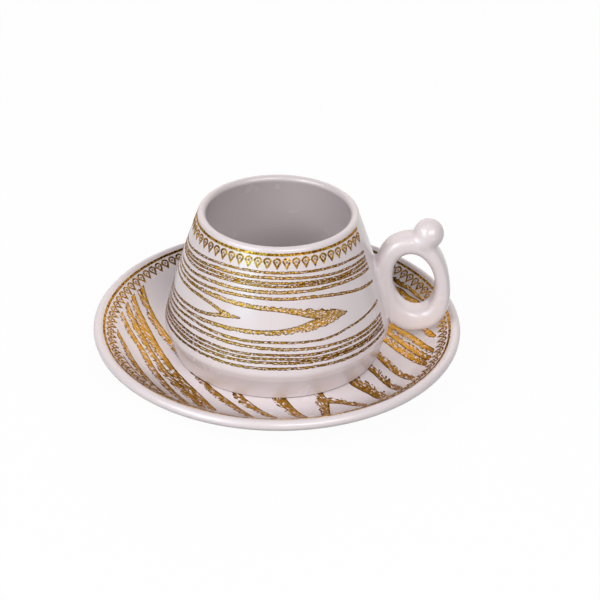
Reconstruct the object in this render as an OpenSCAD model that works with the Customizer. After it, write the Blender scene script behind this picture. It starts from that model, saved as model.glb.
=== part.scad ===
// Coffee cup with a ring handle and a ball thumb rest, standing on its dished saucer.
// Lengths are millimetres and angles are degrees. Z is up, the saucer stands on z = 0,
// the cup's axis is the Z axis and the handle points along +X.

/* [Cup] */
// Height of the lip above the foot
cup_h = 51; // [40:0.5:70]
// Radius of the mouth inside the lip
mouth_r = 24; // [16:0.5:32]
// Radius of the shoulder, the widest place
shoulder_r = 38.6; // [34:0.2:48]
// Height of the shoulder above the foot
shoulder_h = 10.5; // [6:0.5:16]
// Rounding of the shoulder
shoulder_round = 4.5; // [1:0.5:8]
// Radius of the foot where it stands in the well
foot_r = 35.8; // [28:0.2:38]
// Outward bow of the wall between shoulder and lip
wall_bow = 0.6; // [0:0.1:3]
// Thickness of the wall, whose lip is a full round
cup_wall = 2.8; // [2:0.1:4]
// Thickness of the floor
cup_floor = 3.4; // [2.4:0.1:6]
// Rounding inside, between floor and wall
cup_bend = 8; // [3:0.5:12]
// Width of the foot ring
foot_w = 3.2; // [2:0.1:6]
// Depth of the hollow inside the foot ring
foot_recess = 1.2; // [0.6:0.1:3]
// Rounding of the edges of both feet
foot_edge = 0.5; // [0.2:0.1:0.9]

/* [Handle] */
// Width of the finger hole
hole_w = 14; // [11:0.2:22]
// Height of the finger hole
hole_h = 22.4; // [18:0.2:32]
// Thickness of the ring at its outer side
limb_side = 5; // [3.5:0.1:7]
// Thickness of the ring at its top
limb_top = 6.4; // [4:0.1:8]
// Thickness of the ring at its bottom
limb_bottom = 7.8; // [4:0.1:9]
// Thickness of the limb that is luted to the wall, from wall to hole
limb_root = 4.4; // [3.5:0.1:7]
// Depth that the ring's outline is pressed flat against the wall
root_press = 1.5; // [0.8:0.1:2]
// Extra thickness of the ring where it runs out onto the wall below its root
root_heel = 1; // [0:0.1:2]
// Width of the ring from face to face
ring_depth = 9.2; // [6:0.2:12]
// Height of the ring's underside above the foot
handle_lift = 7.3; // [5:0.1:12]
// Lean of the ring towards the cup
handle_lean = 13; // [0:1:18]
// Radius of the thumb ball
ball_r = 4.8; // [3:0.1:6]
// Place of the thumb ball round the ring, from its outer side
ball_turn = 64; // [40:1:90]
// Depth that the thumb ball sinks into the ring
ball_sink = 3.4; // [1.5:0.1:4]
// Film of slip between the handle and the wall
seat_gap = 0.05; // [0.03:0.01:0.1]

/* [Saucer] */
// Reach of the rim past the handle
rim_margin = 4.5; // [1:0.1:20]
// Flat room in the well round the cup's foot
well_play = 4.2; // [1:0.1:8]
// Rise of the rim's centre line above the well
rim_rise = 7.8; // [5:0.1:10]
// Bend between the well and the sloping wall
dish_bend = 22; // [6:0.5:26]
// Thickness of the wall, whose rim is a full round
saucer_wall = 3.5; // [2.5:0.1:5]
// Step from the edge of the well in to the foot ring
saucer_foot_step = 3; // [1:0.1:6]
// Width of the foot ring
saucer_foot_w = 3.4; // [2:0.1:6]
// Height of the foot ring below the underside
saucer_foot_h = 2.6; // [1.5:0.1:5]

/* [Gold print] */
// Width of the gold lines below the rims
line_w = 0.9; // [0.3:0.05:1.5]
// Plain band between the cup's lip rounding and its gold line
cup_line_drop = 0.1; // [0:0.1:3]
// Plain band between the saucer's rim rounding and its gold line
saucer_line_drop = 0.6; // [0:0.1:3]
// Plain band between each gold line and its drops
border_gap = 0.5; // [0.2:0.1:2]
// Angle round the handle that the cup's prints leave plain
print_break = 32; // [0:1:90]
// Number of drops round the cup
cup_drops = 52; // [24:1:80]
// Height of the cup's drops
cup_drop_h = 3.9; // [2.5:0.1:6]
// Number of drops round the saucer
saucer_drops = 108; // [48:2:140]
// Height of the saucer's drops
saucer_drop_h = 4.2; // [2.5:0.1:6]
// Width of the drawn line of a drop
drop_line = 0.55; // [0.2:0.05:0.6]
// Thickness of the fired gold
print_t = 0.12; // [0.06:0.01:0.3]
// Film of flux between the glaze and the gold
print_gap = 0.03; // [0.02:0.01:0.1]

/* [Hidden] */
$fn = 96;
arc_steps = 12;
wall_steps = 24;
ring_steps = 56;
section_steps = 20;
// Width of a drop as a share of the drops' spacing
drop_width_share = 0.93;
// Half width of a drop's point, where it leaves the round, as a share of the round's radius
drop_side_share = 0.97;
// Radius of the eye in a drop as a share of the drop's width
eye_share = 0.15;
// Radius of the eye's plain centre as a share of the eye's radius
eye_hole_share = 0.4;

ceramic = [0.93, 0.90, 0.90];
gold = [0.78, 0.55, 0.16];

// Heights that the cup takes from the saucer
underside_z = saucer_foot_h;
well_z = underside_z + saucer_wall;

// Cup wall, from the shoulder's rounding to the lip's rounding
lip_r = cup_wall / 2;
lip_c = [mouth_r + lip_r, well_z + cup_h - lip_r];
shoulder_c = [shoulder_r - shoulder_round, well_z + shoulder_h];
wall_top = [lip_c.x + lip_r, lip_c.y];
wall_run = wall_top - [shoulder_r, shoulder_c.y];
wall_lean = atan2(-wall_run.x, wall_run.y) - atan2(4 * wall_bow, norm(wall_run));
wall_foot = shoulder_c + shoulder_round * [cos(wall_lean), sin(wall_lean)];
wall_chord = wall_top - wall_foot;
wall_len = norm(wall_chord);
wall_mid = (wall_foot + wall_top) / 2 + 2 * wall_bow * [wall_chord.y, -wall_chord.x] / wall_len;
// Side of the base band, from the foot to where it meets the shoulder's rounding
foot_edge_c = [foot_r - foot_edge, well_z + foot_edge];
band_run = foot_edge_c - shoulder_c;
band_lean = atan2(band_run.y, band_run.x) + acos((shoulder_round - foot_edge) / norm(band_run));
// Inside of the cup
floor_z = well_z + foot_recess + cup_floor;
bend_top_z = floor_z + cup_bend * (1 + sin(wall_lean));

// Ring of the handle
ring_half_w = hole_w / 2 + limb_side;
ring_half_h = hole_h / 2 + limb_bottom;
ring_z = well_z + handle_lift + norm([ring_half_h * cos(handle_lean), ring_half_w * sin(handle_lean)]);
ring_x = wall_radius(ring_z) + limb_root + hole_w / 2;
handle_reach = ring_x + norm([ring_half_w * cos(handle_lean), ring_half_h * sin(handle_lean)]);

// Saucer wall, from the well's bend to the rim's rounding
well_r = foot_r + well_play;
rim_r = saucer_wall / 2;
saucer_r = handle_reach + rim_margin;
rim_c = [saucer_r - rim_r, well_z + rim_rise];
rim_run = rim_c.x - well_r;
longest_bend = (rim_run ^ 2 + rim_rise ^ 2 - rim_r ^ 2) / (2 * (rim_rise + rim_r));
bend_r = min(dish_bend, longest_bend);
bend_c = [well_r, well_z + bend_r];
bend_to_rim = rim_c - bend_c;
dish_slope = atan2(bend_to_rim.y, bend_to_rim.x) + asin(min(1, (bend_r + rim_r) / norm(bend_to_rim)));
slope_len = sqrt(max(0, norm(bend_to_rim) ^ 2 - (bend_r + rim_r) ^ 2));
slope_top = rim_c + rim_r * [-sin(dish_slope), cos(dish_slope)];
saucer_foot_r = well_r - saucer_foot_step;

// Arc of the cup that is printed
print_arc = 360 - print_break;
// Places of the prints, as distances down the wall from the rim's rounding
cup_border_top = cup_line_drop + line_w + border_gap;
saucer_border_top = saucer_line_drop + line_w + border_gap;

// Points round an arc of centre c and radius r, from angle a0 to a1
function arc(c, r, a0, a1, steps = arc_steps) =
    [for (i = [0:steps]) c + r * [cos(a0 + (a1 - a0) * i / steps), sin(a0 + (a1 - a0) * i / steps)]];

// Point of the cup's outer wall, where s is 0 at the shoulder and 1 at the lip
function wall_point(s) = (1 - s) ^ 2 * wall_foot + 2 * s * (1 - s) * wall_mid + s ^ 2 * wall_top;
function wall_along(s) =
    let (d = (1 - s) * (wall_mid - wall_foot) + s * (wall_top - wall_mid)) d / norm(d);
function wall_out(s) = let (d = wall_along(s)) [d.y, -d.x];

// Outer radius of the cup at height z
function wall_radius(z) =
    let (
        bow = wall_foot.y - 2 * wall_mid.y + wall_top.y,
        rise = 2 * (wall_mid.y - wall_foot.y),
        dz = z - wall_foot.y
    )
    wall_point(2 * dz / (rise + sqrt(rise ^ 2 + 4 * bow * dz))).x;

// Place and outward normal of the cup's wall at distance d below the lip's rounding
function cup_place(d) = wall_point(1 - d / wall_len);
function cup_out(d) = wall_out(1 - d / wall_len);

// Place and upward normal of the saucer's dish at distance d inside the rim's rounding
function dish_angle(d) = d <= slope_len ? dish_slope : dish_slope - (d - slope_len) / bend_r * 180 / PI;
function dish_out(d) = [-sin(dish_angle(d)), cos(dish_angle(d))];
function dish_place(d) =
    d <= slope_len ? slope_top - d * [cos(dish_slope), sin(dish_slope)]
    : bend_c - bend_r * dish_out(d);

// Thickness of the ring at angle a, measured from its outer side over its top
function limb(a) =
    (cos(a) > 0 ? limb_side : limb_root + root_press) * cos(a) ^ 2
    + (sin(a) > 0 ? limb_top : limb_bottom) * sin(a) ^ 2
    + (cos(a) < 0 && sin(a) < 0 ? root_heel * sin(2 * a) ^ 2 : 0);
function ring_out(a) = let (n = [cos(a) / hole_w, sin(a) / hole_h]) n / norm(n);
function hole_point(a) = [cos(a) * hole_w, sin(a) * hole_h] / 2;
// Point in the ring's leaning plane, at distance out from the hole's edge
function ring_point(a, out) =
    let (p = hole_point(a) + out * ring_out(a))
    [
        ring_x + p.x * cos(handle_lean) - p.y * sin(handle_lean),
        ring_z + p.y * cos(handle_lean) + p.x * sin(handle_lean)
    ];
// A point that would lie inside the cup is moved out to its seat on the wall
function on_seat(p) =
    let (r = norm([p.x, p.y]), seat = wall_radius(p.z) + seat_gap / cos(wall_lean))
    r >= seat ? p : [p.x * seat / r, p.y * seat / r, p.z];
function ring_section(a) =
    [for (i = [0:section_steps - 1])
        let (
            t = 360 * i / section_steps,
            p = ring_point(a, limb(a) * (1 + cos(t)) / 2)
        )
        on_seat([p.x, -ring_depth / 2 * sin(t), p.y])];

// Closed tube of rings of points, each ring joined to the next and the last to the first
module loop_tube(rings) {
    count = len(rings);
    sides = len(rings[0]);
    faces = [
        for (i = [0:count - 1], j = [0:sides - 1])
            let (
                a = i * sides + j,
                b = i * sides + (j + 1) % sides,
                c = ((i + 1) % count) * sides + (j + 1) % sides,
                d = ((i + 1) % count) * sides + j
            )
            each [[a, b, c], [a, c, d]]
    ];
    polyhedron([for (ring = rings) each ring], faces);
}

// Thin film on the cup's outside between two distances below the lip's rounding, open at the handle
module cup_film(top, bottom) {
    rotate([0, 0, print_break / 2])
        rotate_extrude(angle = print_arc)
            polygon([
                cup_place(top) + print_gap * cup_out(top),
                cup_place(bottom) + print_gap * cup_out(bottom),
                cup_place(bottom) + (print_gap + print_t) * cup_out(bottom),
                cup_place(top) + (print_gap + print_t) * cup_out(top)
            ]);
}

// Thin film in the saucer's dish between two distances inside the rim's rounding
module dish_film(top, bottom) {
    rotate_extrude()
        polygon([
            dish_place(top) + print_gap * dish_out(top),
            dish_place(bottom) + print_gap * dish_out(bottom),
            dish_place(bottom) + (print_gap + print_t) * dish_out(bottom),
            dish_place(top) + (print_gap + print_t) * dish_out(top)
        ]);
}

// Round of radius r, drawn out to a point at distance tip below its centre
module drop_shape(r, tip) {
    circle(r = r);
    polygon([[-r * drop_side_share, 0], [0, -tip], [r * drop_side_share, 0]]);
}

// One drawn drop with its eye, as a thin plate
module drop_plate(width, height) {
    r = width / 2;
    tip = height - r;
    inner_r = r - drop_line;
    linear_extrude(height = print_t) {
        difference() {
            drop_shape(r, tip);
            drop_shape(inner_r, tip * inner_r / r);
        }
        difference() {
            circle(r = width * eye_share);
            circle(r = width * eye_share * eye_hole_share);
        }
    }
}

// Drops side by side over an arc opposite the handle, each laid on a wall with the outward normal out
module drop_ring(count, span, seat, out, width, height, turn) {
    for (i = [0:count - 1])
        rotate([0, 0, 180 + span * ((i + 0.5) / count - 0.5)])
            translate([seat.x, 0, seat.y])
                rotate([0, -atan2(out.y, out.x), 0])
                    rotate([90, 0, 90])
                        rotate([0, 0, turn])
                            drop_plate(width, height);
}

module saucer() {
    color(ceramic)
        rotate_extrude()
            polygon(concat(
                [[0, well_z]],
                arc(bend_c, bend_r, -90, dish_slope - 90),
                arc(rim_c, rim_r, dish_slope + 90, dish_slope - 90),
                arc(bend_c, bend_r + saucer_wall, dish_slope - 90, -90),
                [[saucer_foot_r, underside_z]],
                arc([saucer_foot_r - foot_edge, foot_edge], foot_edge, 0, -90),
                arc([saucer_foot_r - saucer_foot_w + foot_edge, foot_edge], foot_edge, -90, -180),
                [[saucer_foot_r - saucer_foot_w, underside_z], [0, underside_z]]
            ));
}

module saucer_gold_line() {
    color(gold) dish_film(saucer_line_drop, saucer_line_drop + line_w);
}

// The drops' points run inwards, and their flat plates bridge the hollow of the dish both ways
module saucer_drop_border() {
    high = dish_place(saucer_border_top);
    low = dish_place(saucer_border_top + saucer_drop_h);
    along = (low - high) / norm(low - high);
    out = [along.y, -along.x];
    width = drop_width_share * 2 * PI * high.x / saucer_drops;
    centre = high + width / 2 * along;
    hollow = (width / 2) ^ 2 * -out.x / (2 * centre.x);
    seat = centre + (print_gap + hollow) * out;
    color(gold) drop_ring(saucer_drops, 360, seat, out, width, saucer_drop_h, 180);
}

module cup_body() {
    inside_x = wall_radius(bend_top_z) - cup_wall - cup_bend * cos(wall_lean);
    inside_c = [inside_x, floor_z + cup_bend];
    inside_rise = lip_c.y - bend_top_z;
    inside_zs = [for (i = [1:wall_steps - 1]) bend_top_z + inside_rise * i / wall_steps];
    foot_in = foot_r - foot_w;
    color(ceramic)
        rotate_extrude()
            polygon(concat(
                [[0, floor_z]],
                arc(inside_c, cup_bend, -90, wall_lean),
                [for (z = inside_zs) [wall_radius(z) - cup_wall, z]],
                arc(lip_c, lip_r, 180, 0),
                [for (i = [wall_steps - 1:-1:1]) wall_point(i / wall_steps)],
                arc(shoulder_c, shoulder_round, wall_lean, band_lean),
                arc(foot_edge_c, foot_edge, band_lean, -90),
                [[foot_in, well_z], [foot_in, well_z + foot_recess], [0, well_z + foot_recess]]
            ));
}

module cup_handle() {
    ball = ring_point(ball_turn, limb(ball_turn) + ball_r - ball_sink);
    color(ceramic) {
        loop_tube([for (i = [0:ring_steps - 1]) ring_section(360 * i / ring_steps)]);
        translate([ball.x, 0, ball.y]) sphere(r = ball_r);
    }
}

module cup_gold_line() {
    color(gold) cup_film(cup_line_drop, cup_line_drop + line_w);
}

// The drops' points run down
module cup_drop_border() {
    width = drop_width_share * print_arc / 180 * PI * cup_place(cup_border_top).x / cup_drops;
    centre = cup_border_top + width / 2;
    seat = cup_place(centre) + print_gap * cup_out(centre);
    color(gold) drop_ring(cup_drops, print_arc, seat, cup_out(centre), width, cup_drop_h, 0);
}

saucer();
saucer_gold_line();
saucer_drop_border();
cup_body();
cup_handle();
cup_gold_line();
cup_drop_border();
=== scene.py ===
"""Arabic coffee cup on its saucer: glazed ceramic with fired gold prints.

The packed part is the fixed frame. Each of its solids gets a finer piece here, and the wood-grain
prints are laid on the glaze of the cup and the saucer.
"""

import math

import bpy
import numpy as np
from bpy.props import FloatProperty, FloatVectorProperty, IntProperty, PointerProperty
from mathutils import Matrix, Vector


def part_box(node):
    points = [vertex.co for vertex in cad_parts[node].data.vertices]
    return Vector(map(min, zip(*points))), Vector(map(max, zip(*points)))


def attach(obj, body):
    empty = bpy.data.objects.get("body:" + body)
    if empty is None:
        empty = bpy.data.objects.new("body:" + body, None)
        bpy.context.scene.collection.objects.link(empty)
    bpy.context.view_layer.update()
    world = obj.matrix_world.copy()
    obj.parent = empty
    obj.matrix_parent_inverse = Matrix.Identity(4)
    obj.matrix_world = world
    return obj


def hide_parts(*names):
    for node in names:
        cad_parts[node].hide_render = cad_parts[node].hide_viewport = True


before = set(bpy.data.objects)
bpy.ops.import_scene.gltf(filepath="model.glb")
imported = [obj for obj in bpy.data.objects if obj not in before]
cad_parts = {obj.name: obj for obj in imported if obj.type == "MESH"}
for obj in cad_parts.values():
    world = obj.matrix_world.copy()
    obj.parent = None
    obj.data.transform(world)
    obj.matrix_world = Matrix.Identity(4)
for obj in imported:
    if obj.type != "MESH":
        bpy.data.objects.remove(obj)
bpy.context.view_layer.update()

bl_info = {
    "name": "Arabic coffee cup",
    "version": (1, 0, 0),
    "blender": (4, 5, 0),
    "location": "3D View > Sidebar > Coffee cup",
    "description": "Builds the looks of a printed coffee cup and its saucer round the packed part",
    "category": "Object",
}

CUP_LOW, CUP_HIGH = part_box("cup_body")
_, SAUCER_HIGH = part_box("saucer")
MM = 0.001
ROUND = 2 * math.pi
# Distances within which the points of an outline, and of a turned body's seam, are joined
OUTLINE_WELD, SEAM_WELD = 1e-7, 1e-6
# Heights above a foot where the bare clay, darkened as a painted contact shadow, ends and where the full glaze
# starts
BARE_END, GLAZE_START = 0.0003, 0.0005
# Half the width over which the cup's glaze goes over to its painted shade colour
SHADE_EDGE = 0.0004
# Slant of the noise along a stroke, and its size in the stroke's depth, so large that it stays the same there
RUN_SLANT, RUN_DEEP = math.radians(-15), 1000


def length(name, description, default):
    """A length that the user can set, in metres."""
    return FloatProperty(name=name, description=description, default=default, unit="LENGTH", precision=5)


def angle(name, description, degrees):
    """An angle that the user can set."""
    return FloatProperty(name=name, description=description, default=math.radians(degrees), subtype="ANGLE")


def colour(name, description, default):
    """A colour that the user can set, in linear values."""
    return FloatVectorProperty(
        name=name, description=description, default=default, size=3, min=0, max=1, subtype="COLOR"
    )


def share(name, description, default):
    """A share from 0 to 1 that the user can set."""
    return FloatProperty(name=name, description=description, default=default, min=0, max=1, subtype="FACTOR")


class CupSizes(bpy.types.PropertyGroup):
    """Sizes of the cup's body."""

    height: length("Height", "Height of the lip above the foot", CUP_HIGH.z - CUP_LOW.z)
    mouth_r: length("Mouth radius", "Radius of the mouth inside the lip", 0.024)
    shoulder_r: length("Shoulder radius", "Radius of the widest place", CUP_HIGH.x)
    shoulder_h: length("Shoulder height", "Height of the shoulder above the foot", 0.0105)
    shoulder_round: length("Shoulder rounding", "Rounding of the shoulder", 0.0032)
    foot_r: length("Foot radius", "Radius of the foot where it stands in the well", 0.0358)
    wall_bow: length("Wall bow", "Outward bow of the wall between shoulder and lip", 0.0006)
    wall: length("Wall", "Thickness of the wall", 0.0028)
    floor: length("Floor", "Thickness of the floor", 0.0034)
    bend: length("Inside bend", "Rounding inside, between floor and wall", 0.008)
    foot_w: length("Foot ring width", "Width of the foot ring", 0.0032)
    foot_recess: length("Foot recess", "Depth of the hollow inside the foot ring", 0.0012)
    foot_edge: length("Foot edge", "Rounding of the foot's edges", 0.0005)


class HandleSizes(bpy.types.PropertyGroup):
    """Sizes of the ring handle and its thumb ball."""

    hole_w: length("Hole width", "Width of the finger hole", 0.014)
    hole_h: length("Hole height", "Height of the finger hole", 0.0224)
    limb_side: length("Outer limb", "Thickness of the ring at its outer side", 0.005)
    limb_top: length("Top limb", "Thickness of the ring at its top", 0.0064)
    limb_bottom: length("Bottom limb", "Thickness of the ring at its bottom", 0.0078)
    limb_root: length("Root limb", "Thickness of the limb that is luted to the wall", 0.0044)
    root_press: length("Root press", "Depth that the ring goes into the wall", 0.0015)
    root_heel: length("Root heel", "Extra thickness of the ring below its root", 0.001)
    depth: length("Depth", "Width of the ring from face to face", 0.0092)
    fullness: FloatProperty(
        name="Fullness", description="Power of the ring's oval section, 2 for an ellipse", default=3.2
    )
    lift: length("Lift", "Height of the ring's underside above the cup's foot", 0.0073)
    lean: angle("Lean", "Lean of the ring towards the cup", 13)
    ball_r: length("Ball radius", "Radius of the thumb ball", 0.0051)
    ball_turn: angle("Ball turn", "Place of the thumb ball round the ring", 64)
    ball_sink: length("Ball sink", "Depth that the thumb ball sinks into the ring", 0.0034)
    neck: length("Neck", "Reach of the fillet between the ball and the ring", 0.0018)
    blend: length("Blend", "Reach of the fillet between the ring and the wall", 0.002)


class SaucerSizes(bpy.types.PropertyGroup):
    """Sizes of the saucer."""

    radius: length("Radius", "Radius of the rim", SAUCER_HIGH.x)
    well_z: length("Well height", "Height of the well, where the cup stands", CUP_LOW.z)
    well_r: length("Well radius", "Radius of the flat well", 0.04)
    rim_rise: length("Rim rise", "Rise of the rim's centre line above the well", 0.0078)
    bend: length("Bend", "Bend between the well and the sloping wall", 0.022)
    wall: length("Wall", "Thickness of the wall", 0.0035)
    foot_r: length("Foot radius", "Outer radius of the foot ring", 0.037)
    foot_w: length("Foot ring width", "Width of the foot ring", 0.0034)
    foot_edge: length("Foot edge", "Rounding of the foot's edges", 0.0005)


class PrintSizes(bpy.types.PropertyGroup):
    """Sizes of the gold prints."""

    turn: angle("Turn", "Turn of the prints' fronts towards the handle", 2)
    gap: angle("Plain angle", "Angle round the handle that the cup's prints leave plain", 32)
    line_w: length("Line width", "Width of the gold lines", 0.0009)
    cup_line_drop: length("Cup line drop", "Plain band between the lip's rounding and the gold line", 0.0001)
    saucer_line_drop: length("Saucer line drop", "Plain band between the rim's rounding and the line", 0.0006)
    border_gap: length("Border gap", "Plain band between a gold line and its drops", 0.0005)
    cup_drops: IntProperty(name="Cup drops", description="Number of drops on the cup", default=52, min=8)
    cup_drop_h: length("Cup drop height", "Height of the cup's drops", 0.0039)
    saucer_drops: IntProperty(
        name="Saucer drops", description="Number of drops on the saucer", default=108, min=8
    )
    saucer_drop_h: length("Saucer drop height", "Height of the saucer's drops", 0.0042)
    drop_fill: share("Drop fill", "Width of a drop as a share of the drops' spacing", 0.93)
    drop_line: length("Drop line", "Width of the drawn line of a drop", 0.00064)
    eye_r: length("Eye radius", "Radius of the small ring in a drop", 0.0004)
    lift: length("Lift", "Height of the gold's underside above the glaze", 0.00003)
    thick: length("Thickness", "Thickness of the fired gold", 0.00006)
    mesh_step: length("Print mesh", "Mesh width of the wood-grain prints", 0.00025)


class Finishes(bpy.types.PropertyGroup):
    """Colours and gloss of the glaze and the gold."""

    glaze_pale: colour("Pale glaze", "Colour of the glaze", (0.785, 0.712, 0.73))
    glaze_deep: colour("Deep glaze", "Colour of the glaze where it lies thicker", (0.77, 0.698, 0.716))
    # Painted shade: a darker glaze colour inside the cup and low on its base band, where less light reaches
    glaze_painted_shade: colour(
        "Painted shade glaze", "Colour of the glaze inside the cup and low on its band", (0.65, 0.588, 0.603)
    )
    glaze_rough: share("Glaze roughness", "Roughness of the glaze", 0.26)
    # Painted contact shadow: the unglazed feet are darker than bare clay, standing for the shadow where they
    # stand
    bare_clay_and_contact_shadow: colour("Bare clay and contact shadow", "Colour of the unglazed foot rings", (0.20, 0.155, 0.14))
    gold_pale: colour("Pale gold", "Colour of thick gold", (0.57, 0.325, 0.05))
    gold_deep: colour("Deep gold", "Colour of thin gold", (0.13, 0.047, 0.002))
    gold_rough: share("Gold roughness", "Roughness of the gold", 0.27)


class StageSizes(bpy.types.PropertyGroup):
    """Camera and floor."""

    distance: length("Camera distance", "Distance from the camera to the middle of the well", 0.52)
    elevation: angle("Elevation", "Height of the camera seen from the well", 32.9)
    pan: angle("Pan", "Turn of the camera to its right", 1.01)
    tilt: angle("Tilt", "Tilt of the camera below the horizon", 31.38)
    roll: angle("Roll", "Roll of the camera", 1.15)
    focal: FloatProperty(name="Focal length", description="Lens in millimetres on a 36 mm sensor", default=89.6)
    floor_r: length("Floor radius", "Radius of the floor", 3.0)
    floor_colour: colour("Floor", "Colour that the floor throws back at the cup", (0.15, 0.14, 0.135))


class CupForm:
    """The cup's outline, worked out from its sizes. Points are (radius, height)."""

    def __init__(self, cup, foot_z):
        self.cup = cup
        self.foot_z = foot_z
        self.lip_r = cup.wall / 2
        self.lip_c = Vector((cup.mouth_r + self.lip_r, foot_z + cup.height - self.lip_r))
        self.shoulder_c = Vector((cup.shoulder_r - cup.shoulder_round, foot_z + cup.shoulder_h))
        self.top = self.lip_c + Vector((self.lip_r, 0))
        run = self.top - Vector((cup.shoulder_r, self.shoulder_c.y))
        self.lean = math.atan2(-run.x, run.y) - math.atan2(4 * cup.wall_bow, run.length)
        self.low = self.shoulder_c + cup.shoulder_round * Vector((math.cos(self.lean), math.sin(self.lean)))
        chord = self.top - self.low
        self.wall_len = chord.length
        self.mid = (self.low + self.top) / 2 + 2 * cup.wall_bow * Vector((chord.y, -chord.x)) / chord.length
        self.foot_edge_c = Vector((cup.foot_r - cup.foot_edge, foot_z + cup.foot_edge))
        band = self.foot_edge_c - self.shoulder_c
        self.band_lean = math.atan2(band.y, band.x) + math.acos(
            (cup.shoulder_round - cup.foot_edge) / band.length
        )

    def wall_point(self, s):
        """Point of the outer wall, from 0 at the shoulder to 1 at the lip."""
        return (1 - s) ** 2 * self.low + 2 * s * (1 - s) * self.mid + s**2 * self.top

    def place(self, d):
        """Point and outward normal of the wall at distance d below the lip's rounding."""
        s = 1 - d / self.wall_len
        along = (1 - s) * (self.mid - self.low) + s * (self.top - self.mid)
        return self.wall_point(s), Vector((along.y, -along.x)).normalized()

    def outside(self):
        """Outer outline from the lip's rounding down to the foot."""
        wall = [self.wall_point(1 - i / 48) for i in range(49)]
        shoulder = arc(self.shoulder_c, self.cup.shoulder_round, self.lean, self.band_lean, steps=16)
        foot = arc(self.foot_edge_c, self.cup.foot_edge, self.band_lean, -math.pi / 2, steps=8)
        return wall + shoulder[1:] + foot

    def radius(self, z):
        """Outer radius at height z, for one height or an array of them."""
        line = self.outside()[::-1]
        return np.interp(z, [p.y for p in line], [p.x for p in line])

    def height_over(self, co):
        """How far outside the wall each point of an array lies."""
        return np.hypot(co[:, 0], co[:, 1]) - self.radius(co[:, 2])

    def outline(self):
        """Closed outline of the body, from the middle of the floor over the lip to the foot."""
        cup = self.cup
        floor_z = self.foot_z + cup.foot_recess + cup.floor
        bend_top = floor_z + cup.bend * (1 + math.sin(self.lean))
        inner = self.radius(bend_top) - cup.wall - cup.bend * math.cos(self.lean)
        steps = [bend_top + (self.lip_c.y - bend_top) * i / 40 for i in range(1, 40)]
        foot_in = cup.foot_r - cup.foot_w
        hollow_z = self.foot_z + cup.foot_recess
        return (
            [Vector((0, floor_z))]
            + [Vector((inner * i / 8, floor_z)) for i in range(1, 8)]
            + arc(Vector((inner, floor_z + cup.bend)), cup.bend, -math.pi / 2, self.lean, steps=20)
            + [Vector((self.radius(z) - cup.wall, z)) for z in steps]
            + arc(self.lip_c, self.lip_r, math.pi, 0, steps=20)
            + self.outside()[1:]
            + [Vector((foot_in, self.foot_z)), Vector((foot_in, hollow_z)), Vector((0, hollow_z))]
        )


class DishForm:
    """The saucer's outline, worked out from its sizes. Points are (radius, height)."""

    def __init__(self, saucer):
        self.saucer = saucer
        self.rim_r = saucer.wall / 2
        self.rim_c = Vector((saucer.radius - self.rim_r, saucer.well_z + saucer.rim_rise))
        self.bend_c = Vector((saucer.well_r, saucer.well_z + saucer.bend))
        run = self.rim_c - self.bend_c
        self.slope = math.atan2(run.y, run.x) + math.asin((saucer.bend + self.rim_r) / run.length)
        self.slope_len = math.sqrt(run.length**2 - (saucer.bend + self.rim_r) ** 2)
        self.top = self.rim_c + self.rim_r * Vector((-math.sin(self.slope), math.cos(self.slope)))

    def place(self, d):
        """Point and upward normal of the dish at distance d inside the rim's rounding."""
        past = max(0, d - self.slope_len)
        tilt = self.slope - past / self.saucer.bend
        out = Vector((-math.sin(tilt), math.cos(tilt)))
        if past:
            return self.bend_c - self.saucer.bend * out, out
        return self.top - d * Vector((math.cos(tilt), math.sin(tilt))), out

    def surface(self, r):
        """Height and slope angle of the dish at an array of radii."""
        saucer = self.saucer
        bend_end = saucer.well_r + saucer.bend * math.sin(self.slope)
        across = np.clip(r - saucer.well_r, 0, bend_end - saucer.well_r)
        tilt = np.arcsin(across / saucer.bend)
        z = saucer.well_z + saucer.bend * (1 - np.cos(tilt))
        return z + np.maximum(0, r - bend_end) * math.tan(self.slope), tilt

    def outline(self):
        """Closed outline of the saucer, from the middle of the well over the rim to the foot ring."""
        saucer = self.saucer
        under_z = saucer.well_z - saucer.wall
        edge = saucer.foot_edge
        down = -math.pi / 2
        foot_in = saucer.foot_r - saucer.foot_w
        return (
            [Vector((saucer.well_r * i / 16, saucer.well_z)) for i in range(16)]
            + arc(self.bend_c, saucer.bend, down, self.slope + down, steps=24)
            + [self.top.lerp(self.place(self.slope_len)[0], 1 - i / 8) for i in range(1, 8)]
            + arc(self.rim_c, self.rim_r, self.slope - down, self.slope + down, steps=24)
            + arc(self.bend_c, saucer.bend + saucer.wall, self.slope + down, down, steps=24)
            + [Vector((saucer.foot_r, under_z))]
            + arc(Vector((saucer.foot_r - edge, edge)), edge, 0, down, steps=6)
            + arc(Vector((foot_in + edge, edge)), edge, down, 2 * down, steps=6)
            + [Vector((foot_in, under_z)), Vector((0, under_z))]
        )


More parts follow.
